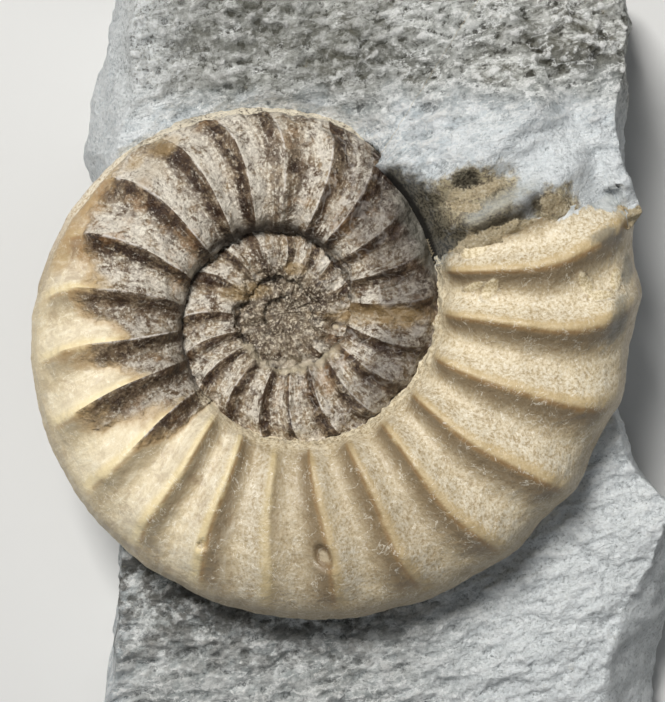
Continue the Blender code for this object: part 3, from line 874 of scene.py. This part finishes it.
def shell_surface():
    """Cream shell on the body chamber, brown speckled calcite on the early whorls, waxy where it is worn; with
    painted shade, highlights and shadows on the ribs and in the umbilicus.
    """
    s = Surface("shell_calcite_fine")
    turn, across, rib = s.read("turn"), s.read("across"), s.read("rib")
    patchy, large, fine = shared_noises(s)
    x, y = s.xyz()[:2]
    radius = s.maths("SQRT", s.maths("ADD", s.maths("POWER", x, 2.0), s.maths("POWER", y, 2.0)))
    facing = s.maths("DIVIDE", x, radius)

    down_left = s.maths("FRACT", rib)
    down = s.maths(
        "ADD",
        s.times(down_left, s.ramp(facing, -0.15, 0.15, 1.0, 0.0)),
        s.times(s.maths("SUBTRACT", 1.0, down_left), s.ramp(facing, -0.15, 0.15)),
    )
    off_crest = s.maths("ABSOLUTE", s.maths("SUBTRACT", s.maths("FRACT", s.maths("ADD", rib, 0.5)), 0.5))
    wavy = s.stirred(off_crest, patchy, 0.14)
    on_flank = s.times(s.ramp(across, 0.03, 0.12), s.ramp(across, 0.88, 0.99, 1.0, 0.0))

    frost = s.noise(1.7, 5.0, 0.7, 0.6, shift=19.0)
    fibres = s.noise(1.0, 4.0, 0.65, 0.6, place=s.along_ribs(rib, radius, 0.9, 3.2), shift=2.0)
    fibres = s.stirred(0.5, fibres, s.ramp(radius, 4.0, 9.0))
    sandy = s.ramp(turn, 235.0, 275.0)
    cream = cream_colour(s, patchy, large, fine, sandy)
    mottled = s.times(s.ramp(frost, 0.54, 0.4), s.ramp(sandy, 0.0, 1.0, 0.8, 0.0))
    cream = s.over(cream, (158, 136, 108), mottled, s.ramp(large, 0.62, 0.42))
    hazy = s.times(s.ramp(fibres, 0.48, 0.66), s.ramp(facing, 0.2, -0.4, 0.35, 1.0))
    cream = s.over(cream, (238, 230, 208), hazy, 0.5)
    cream = s.over(cream, (150, 128, 94), s.ramp(fibres, 0.48, 0.34, 0.0, 0.4))
    # A honey tint on each crest, lighter on the left side of the coil as a painted highlight.
    crest_tint_and_highlight = s.times(s.ramp(wavy, 0.2, 0.03), on_flank)
    crest_tone_and_highlight = s.mix(s.ramp(facing, -0.2, 0.3), srgb(236, 217, 166), srgb(200, 175, 126))
    cream = s.mix(s.times(crest_tint_and_highlight, 0.6), cream, crest_tone_and_highlight)
    shade = s.times(s.ramp(down, 0.0, 0.14), s.ramp(down, 0.58, 0.16), on_flank)
    shade = s.times(shade, s.ramp(wavy, 0.0, 0.12), s.ramp(turn, 225.0, 265.0, 0.6, 0.8))
    cream = s.over(cream, (108, 90, 66), shade)
    # A yellow-brown line just past each crest on the side away from the light: partly a stain, partly painted
    # shade.
    ochre_and_shade = s.times(s.peak(down, 0.07, 0.07), s.ramp(patchy, 0.3, 0.5))
    cream = s.over(cream, (134, 98, 52), ochre_and_shade, on_flank, 0.7)
    grain = s.stirred(0.5, fine, sandy)
    # Painted light: a pale band on the slope of each rib that faces the light, before the next crest.
    painted_lit_panel = s.times(s.ramp(down, 0.4, 0.75), s.ramp(down, 1.0, 0.88))
    painted_lit_panel = s.times(painted_lit_panel, s.ramp(wavy, 0.02, 0.14), s.ramp(grain, 0.42, 0.57))
    cream = s.over(cream, (240, 233, 214), painted_lit_panel, on_flank, 0.5)
    at_foot = s.times(s.ramp(turn, 245.0, 268.0), s.ramp(turn, 325.0, 295.0, 0.3, 1.0))
    cream = s.over(cream, (126, 108, 80), at_foot, 0.36)
    # Painted shade: darker along the whorl's outer rounded edge.
    under = s.ramp(across, 0.9, 1.0)
    cream = s.over(cream, (150, 130, 96), under, 0.35)
    rusty_rim = s.times(s.peak(turn, 152.0, 24.0), s.ramp(across, 0.6, 0.8),
                        s.ramp(patchy, 0.36, 0.54))
    cream = s.over(cream, (146, 106, 66), rusty_rim, 0.62)
    # Fine white lines: partly scratches and fibres, partly painted glints.
    scratches_and_glints = s.peak(s.noise(4.0, 4.0, 0.6, 1.2, shift=33.0), 0.5, 0.014)
    scratches_and_glints = s.times(scratches_and_glints, s.ramp(frost, 0.42, 0.56))
    cream = s.over(cream, (250, 245, 230), scratches_and_glints, 0.5)
    # Painted light: the cream on the left side of the coil lighter.
    painted_light_left = s.times(s.ramp(facing, -0.35, -0.85), s.ramp(turn, 165.0, 185.0))
    cream = s.over(cream, (250, 236, 200), painted_light_left, 0.22)

    streaky = s.stirred(fine, fibres, 0.45)
    # Speckles, with a painted shade bias: more dark ones just past each crest on the side away from the light,
    # more pale ones further on.
    speckled = s.maths("MULTIPLY_ADD", s.ramp(down, 0.08, 0.5, -0.6, 0.4), 0.09, streaky)
    brown = s.mix(s.ramp(patchy, 0.38, 0.62), srgb(84, 63, 42), srgb(156, 137, 110))
    lighter = s.times(s.ramp(turn, 72.0, 95.0), s.ramp(turn, 178.0, 160.0))
    frosted = s.ramp(s.maths("MULTIPLY_ADD", lighter, 0.06, frost), 0.43, 0.59)
    # Pale frost on the slope of each rib that faces the light: partly frosted calcite, partly painted light.
    lit_side_frost = s.times(s.ramp(down, 0.2, 0.8), frosted)
    brown = s.over(brown, (214, 206, 192), lit_side_frost, 0.92)
    brown = s.over(brown, (206, 199, 184), s.ramp(fibres, 0.52, 0.68, 0.0, 0.5))
    brown = s.over(brown, (240, 233, 217), s.ramp(speckled, 0.54, 0.64, 0.0, 0.68))
    brown = s.over(brown, (66, 46, 29), s.ramp(speckled, 0.49, 0.38, 0.0, 0.66))
    # Painted shade: a dark brown band just past each crest on the side away from the light, broken up by noise.
    band_place = s.stirred(down, large, 0.5)
    gaps = s.ramp(s.noise(4.5, 4.0, 0.65, shift=27.0), 0.38, 0.54, 0.35, 1.0)
    broken_up = s.times(s.ramp(frost, 0.6, 0.44), gaps)
    shade_band = s.times(s.peak(band_place, 0.18, 0.3), broken_up)
    shade_band = s.times(shade_band, s.ramp(fine, 0.62, 0.52, 0.6, 1.3))
    brown = s.over(brown, (46, 27, 13), s.maths("MINIMUM", shade_band, 0.97))
    rusty = s.times(s.ramp(large, 0.52, 0.66), s.ramp(patchy, 0.44, 0.58))
    brown = s.over(brown, (150, 108, 62), rusty, 0.45)
    wisps = s.times(s.peak(s.noise(5.0, 2.0, 0.5, 0.8, shift=15.0), 0.5, 0.03), s.ramp(facing, 0.1, 0.5))
    brown = s.over(brown, (226, 220, 212), wisps, 0.35)
    brown = s.over(brown, (62, 44, 28), s.ramp(turn, 165.0, 185.0, 0.0, 0.3))
    # A thin painted highlight along each crest.
    crest = s.times(s.ramp(wavy, 0.05, 0.01), s.ramp(patchy, 0.48, 0.58))
    crest = s.times(crest, s.ramp(radius, 8.0, 13.0))
    brown = s.over(brown, (226, 220, 212), crest, on_flank, 0.8)
    gritty = s.mix(s.ramp(patchy, 0.4, 0.6), srgb(60, 46, 33), srgb(116, 102, 84))
    gritty = s.over(gritty, (196, 184, 162), s.ramp(fine, 0.49, 0.6))
    brown = s.mix(s.ramp(radius, 10.0, 4.5, 0.0, 0.8), brown, gritty)
    # Painted shadow: dark along every seam, and wider near the seam at the top of the coil, where the whorl's
    # wall shades it.
    at_top = s.times(s.ramp(y, 6.0, 10.5), s.ramp(turn, -20.0, 20.0))
    crevice_shadow = s.times(s.ramp(across, 0.15, 0.05), at_top)
    crevice_shadow = s.maths("MAXIMUM", s.ramp(across, 0.06, 0.015, 0.0, 0.7), crevice_shadow)
    crevice_shadow = s.times(crevice_shadow, s.ramp(radius, 4.4, 5.2))
    brown = s.over(brown, (26, 18, 12), crevice_shadow, 0.88)
    # Painted light: pale near the seam of the inner whorls on the lower side of the coil, where the wall faces
    # the light.
    low_down = s.times(s.ramp(y, -3.0, -6.0), s.ramp(turn, -20.0, -40.0))
    lit_seam_wall = s.times(s.ramp(across, 0.16, 0.05), low_down, s.ramp(patchy, 0.4, 0.5))
    brown = s.over(brown, (196, 184, 158), lit_seam_wall, 0.7)
    in_shade = s.times(s.ramp(facing, 0.3, 0.85), s.ramp(radius, 13.0, 16.0))
    brown = s.over(brown, (46, 32, 22), in_shade, 0.62)
    # Near-black on the outer part of the last whorl early on, just inside the stone's wall: partly dark glossy
    # calcite, partly painted shade.
    dark_gloss_and_shade = s.times(s.ramp(across, 0.45, 0.8), s.times(s.ramp(turn, 75.0, 50.0), s.ramp(turn, -8.0, 8.0)))
    brown = s.over(brown, (38, 23, 13), dark_gloss_and_shade, s.ramp(frost, 0.6, 0.46, 0.2, 0.85))

    margin = s.stirred(s.read("calcite"), patchy, 0.3)
    margin = s.stirred(margin, large, 0.9)
    beside_crest = s.times(s.ramp(down, 0.3, 0.75, 0.06, -0.22), s.ramp(turn, 150.0, 200.0))
    is_brown = s.ramp(s.maths("ADD", margin, beside_crest), -0.1, 0.12)
    amber = s.times(s.peak(s.maths("ADD", margin, beside_crest), -0.03, 0.14), s.ramp(turn, 120.0, 150.0))
    colour = s.over(s.mix(is_brown, cream, brown), (164, 130, 82), amber, 0.5)

    bare = s.ramp(s.stirred(s.read("bare"), patchy, 9.0), -0.3, 0.5)
    stone = s.over(stone_colour(s, patchy, large, fine, 0.3, 0.0), (122, 126, 122), 0.4)
    colour = s.mix(s.times(bare, s.ramp(turn, 300.0, 320.0)), colour, stone)

    def patch(name, strength, shade_of, ragged=0.9, soft=0.19):
        spread = s.stirred(s.read(name), patchy, ragged)
        return s.mix(s.ramp(spread, 0.55 - soft, 0.55 + soft, 0.0, strength), colour, shade_of)

    # Yellow-brown stain patches, listed in OCHRE_PATCHES.
    colour = patch("ochre_and_shade", 0.45, srgb(176, 148, 100))
    colour = patch("pale", 0.5, srgb(190, 178, 158))
    flake_tone = s.mix(s.ramp(fine, 0.42, 0.56), srgb(180, 162, 124), srgb(222, 209, 178))
    # Painted shadow: a broken dark line round the edges of the flakes.
    outline = s.stirred(s.read("flake"), patchy, 0.35)
    flake_edge_shadow = s.times(s.peak(outline, 0.45, 0.1), s.ramp(frost, 0.46, 0.58))
    colour = s.over(colour, (120, 102, 74), flake_edge_shadow, 0.4)
    colour = patch("flake", 0.85, flake_tone, 0.35, 0.05)
    colour = patch("dark", 0.7, srgb(112, 110, 100))
    # A pit: a dark ring inside its edge as painted shade, round a pale floor.
    pit = s.stirred(s.read("pit"), patchy, 0.5)
    colour = s.over(colour, (112, 92, 66), s.ramp(pit, 0.5, 0.62, 0.0, 0.5))
    colour = s.over(colour, (206, 192, 164), s.ramp(pit, 0.7, 0.85, 0.0, 0.7))
    rim = s.times(s.ramp(across, 0.965, 0.985), s.ramp(turn, 150.0, 175.0, 1.0, 0.0))
    rim = s.times(rim, s.ramp(turn, 54.0, 66.0))
    colour = s.over(colour, (222, 212, 190), rim, s.ramp(fine, 0.35, 0.55))
    seam = s.times(s.ramp(across, 0.1, 0.02), s.ramp(turn, 215.0, 235.0))
    colour = s.over(colour, (226, 214, 186), seam, s.ramp(fine, 0.44, 0.56))
    s.put(s.shader.inputs["Base Color"], colour)
    waxy = s.ramp(is_brown, 0.0, 1.0, 0.06, 0.0)
    s.put(s.shader.inputs["Roughness"], s.maths("ADD", s.ramp(frost, 0.35, 0.6, 0.27, 0.5), waxy))
    s.shader.inputs["Specular IOR Level"].default_value = 0.5
    unevenness = s.times(s.noise(1.6, 5.0, 0.6, shift=2.0), s.ramp(is_brown, 0.0, 1.0, 0.45, 1.0))
    bump = s.relief(unevenness, 0.8)
    bump = s.relief(s.times(fine, s.ramp(is_brown, 0.0, 1.0, 0.3, 1.0)), 0.3, bump)
    s.put(s.shader.inputs["Normal"], bump)
    return s.material


def stone_surface():
    """Blue-grey limestone, with the last of the shell, and its stain, near the mouth, and painted light and
    shade on its face.
    """
    s = Surface("grey_limestone_fine")
    tone = s.noise(11.0, 5.0, 0.6)
    streaks = s.noise(1.0, 5.0, 0.7, place=s.stretched(2.8, 1.3, 2.0, 16.0), shift=3.0)
    grit = s.noise(0.5, 5.0, 0.78, shift=5.0)
    patchy, large, fine = shared_noises(s)
    colour = stone_colour(s, streaks, tone, grit, s.read("broken"), s.read("proud"))
    x, y, z = s.xyz()
    # Painted light: the stone lighter towards the left, where the light falls.
    painted_light_left = s.times(s.ramp(x, -8.0, -26.0), s.ramp(y, 5.0, 20.0))
    colour = s.over(colour, (246, 250, 251), painted_light_left, s.ramp(grit, 0.4, 0.56, 0.1, 0.85))
    at_right = s.times(s.ramp(x, 8.0, 40.0), s.ramp(y, 34.0, 24.0))
    colour = s.over(colour, (246, 251, 253), at_right, s.ramp(grit, 0.3, 0.56, 0.1, 0.8))
    at_top = s.times(s.ramp(y, 30.0, 35.0), s.times(s.ramp(x, 24.0, 8.0), s.ramp(x, -24.0, -12.0)))
    colour = s.over(colour, (96, 95, 84), at_top, s.ramp(patchy, 0.36, 0.56, 0.1, 0.5))
    # Darker on the face below the coil: partly a brownish stain, partly painted shadow.
    stain_and_shadow_under_coil = s.times(s.ramp(y, -66.0, -42.0), s.ramp(y, -30.0, -36.0))
    stain_and_shadow_under_coil = s.times(stain_and_shadow_under_coil, s.ramp(x, 30.0, 8.0), s.ramp(patchy, 0.4, 0.56))
    stain_and_shadow_under_coil = s.times(stain_and_shadow_under_coil, s.ramp(z, 11.0, 18.0))
    colour = s.over(colour, (72, 68, 58), stain_and_shadow_under_coil, 0.8)
    tan = s.stirred(s.read("tan"), patchy, 1.3)
    tan_tone = s.mix(s.ramp(fine, 0.42, 0.58), srgb(116, 98, 66), srgb(190, 174, 134))
    tan_tone = s.over(tan_tone, (214, 200, 164), s.ramp(streaks, 0.5, 0.62, 0.0, 0.7))
    colour = s.mix(s.ramp(tan, 0.16, 0.5, 0.0, 0.9), colour, tan_tone)
    dark = s.stirred(s.read("dark"), patchy, 0.9)
    stain = s.mix(s.ramp(fine, 0.42, 0.56), srgb(44, 40, 30), srgb(108, 102, 86))
    colour = s.mix(s.ramp(dark, 0.2, 0.6, 0.0, 0.92), colour, stain)
    # Painted shade: a near-black line in the gap where the stone meets the early whorl.
    colour = s.over(colour, (22, 18, 13), s.ramp(s.read("seam_gap_shade"), 0.5, 0.9, 0.0, 0.9))
    # Painted shadow under the broken rib past the mouth, and painted light along its top.
    colour = s.over(colour, (52, 45, 33), s.read("under"), 0.9)
    colour = s.over(colour, (200, 204, 200), s.read("lit"), 0.6)
    cream = cream_colour(s, patchy, large, fine, 1.0)
    shelly = s.stirred(s.read("shelly"), fine, 0.9)
    colour = s.mix(s.ramp(shelly, 0.44, 0.6, 0.0, 0.9), colour, cream)
    near_mouth = s.ramp(s.read("bare"), -10.0, -9.0)
    left = s.ramp(s.stirred(s.read("bare"), patchy, 9.0), -0.3, 0.5, 1.0, 0.0)
    colour = s.mix(s.times(left, near_mouth), colour, cream)
    s.put(s.shader.inputs["Base Color"], colour)
    s.shader.inputs["Roughness"].default_value = 0.85
    s.shader.inputs["Specular IOR Level"].default_value = 0.3
    bump = s.relief(streaks, 1.3)
    bump = s.relief(s.noise(0.9, 6.0, 0.72, shift=9.0), 0.8, bump)
    s.put(s.shader.inputs["Normal"], bump)
    return s.material


def added(name, data):
    """A new object in the scene."""
    made = bpy.data.objects.new(name, data)
    bpy.context.scene.collection.objects.link(made)
    return made


def place(name, mesh, surface):
    """A piece of the model."""
    made = added(name, mesh)
    mesh.materials.append(surface)
    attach(made, "root")
    return made


def build_fossil():
    """The two visible pieces, in place of the plain solids."""
    noise.seed_set(ROCK_SEED)
    shell = place("ammonite_shell", coil_mesh("ammonite_shell"), shell_surface())
    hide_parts("ammonite")
    stone = place("limestone_matrix", block_mesh("limestone_matrix"), stone_surface())
    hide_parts("limestone_block")


def build_floor():
    """A plain pale floor, larger than the view."""
    mesh = bpy.data.meshes.new("floor")
    r = FLOOR_REACH
    mesh.from_pydata([(-r, -r, 0), (r, -r, 0), (r, r, 0), (-r, r, 0)], [], [(0, 1, 2, 3)])
    floor = added("floor", mesh)
    plain = bpy.data.materials.new("pale_floor")
    plain.use_nodes = True
    shader = plain.node_tree.nodes["Principled BSDF"]
    shader.inputs["Base Color"].default_value = FLOOR_COLOUR
    shader.inputs["Roughness"].default_value = FLOOR_ROUGHNESS
    mesh.materials.append(plain)


def area_light(name, where, size, power, colour):
    """A square soft light that points at the middle of the view."""
    data = bpy.data.lights.new(name, "AREA")
    data.size = size
    data.energy = power
    data.color = colour
    made = added(name, data)
    made.location = where
    made.rotation_euler = (Vector(VIEW_MIDDLE) - made.location).to_track_quat("-Z", "Y").to_euler()


def light_and_camera():
    """Soft light from above the photograph's top edge, and the camera straight over the face."""
    for light in LIGHTS:
        area_light(*light)
    world = bpy.data.worlds.new("studio")
    world.use_nodes = True
    sky = world.node_tree.nodes["Background"]
    sky.inputs["Color"].default_value = SKY_COLOUR
    sky.inputs["Strength"].default_value = SKY_STRENGTH
    bpy.context.scene.world = world
    bpy.context.scene.view_settings.view_transform = "Standard"
    data = bpy.data.cameras.new("camera")
    data.sensor_width = SENSOR_MM
    data.lens = LENS_MM
    camera = added("camera", data)
    camera.location = (*VIEW_MIDDLE[:2], CAMERA_HEIGHT)
    bpy.context.scene.camera = camera


build_fossil()
build_floor()
light_and_camera()
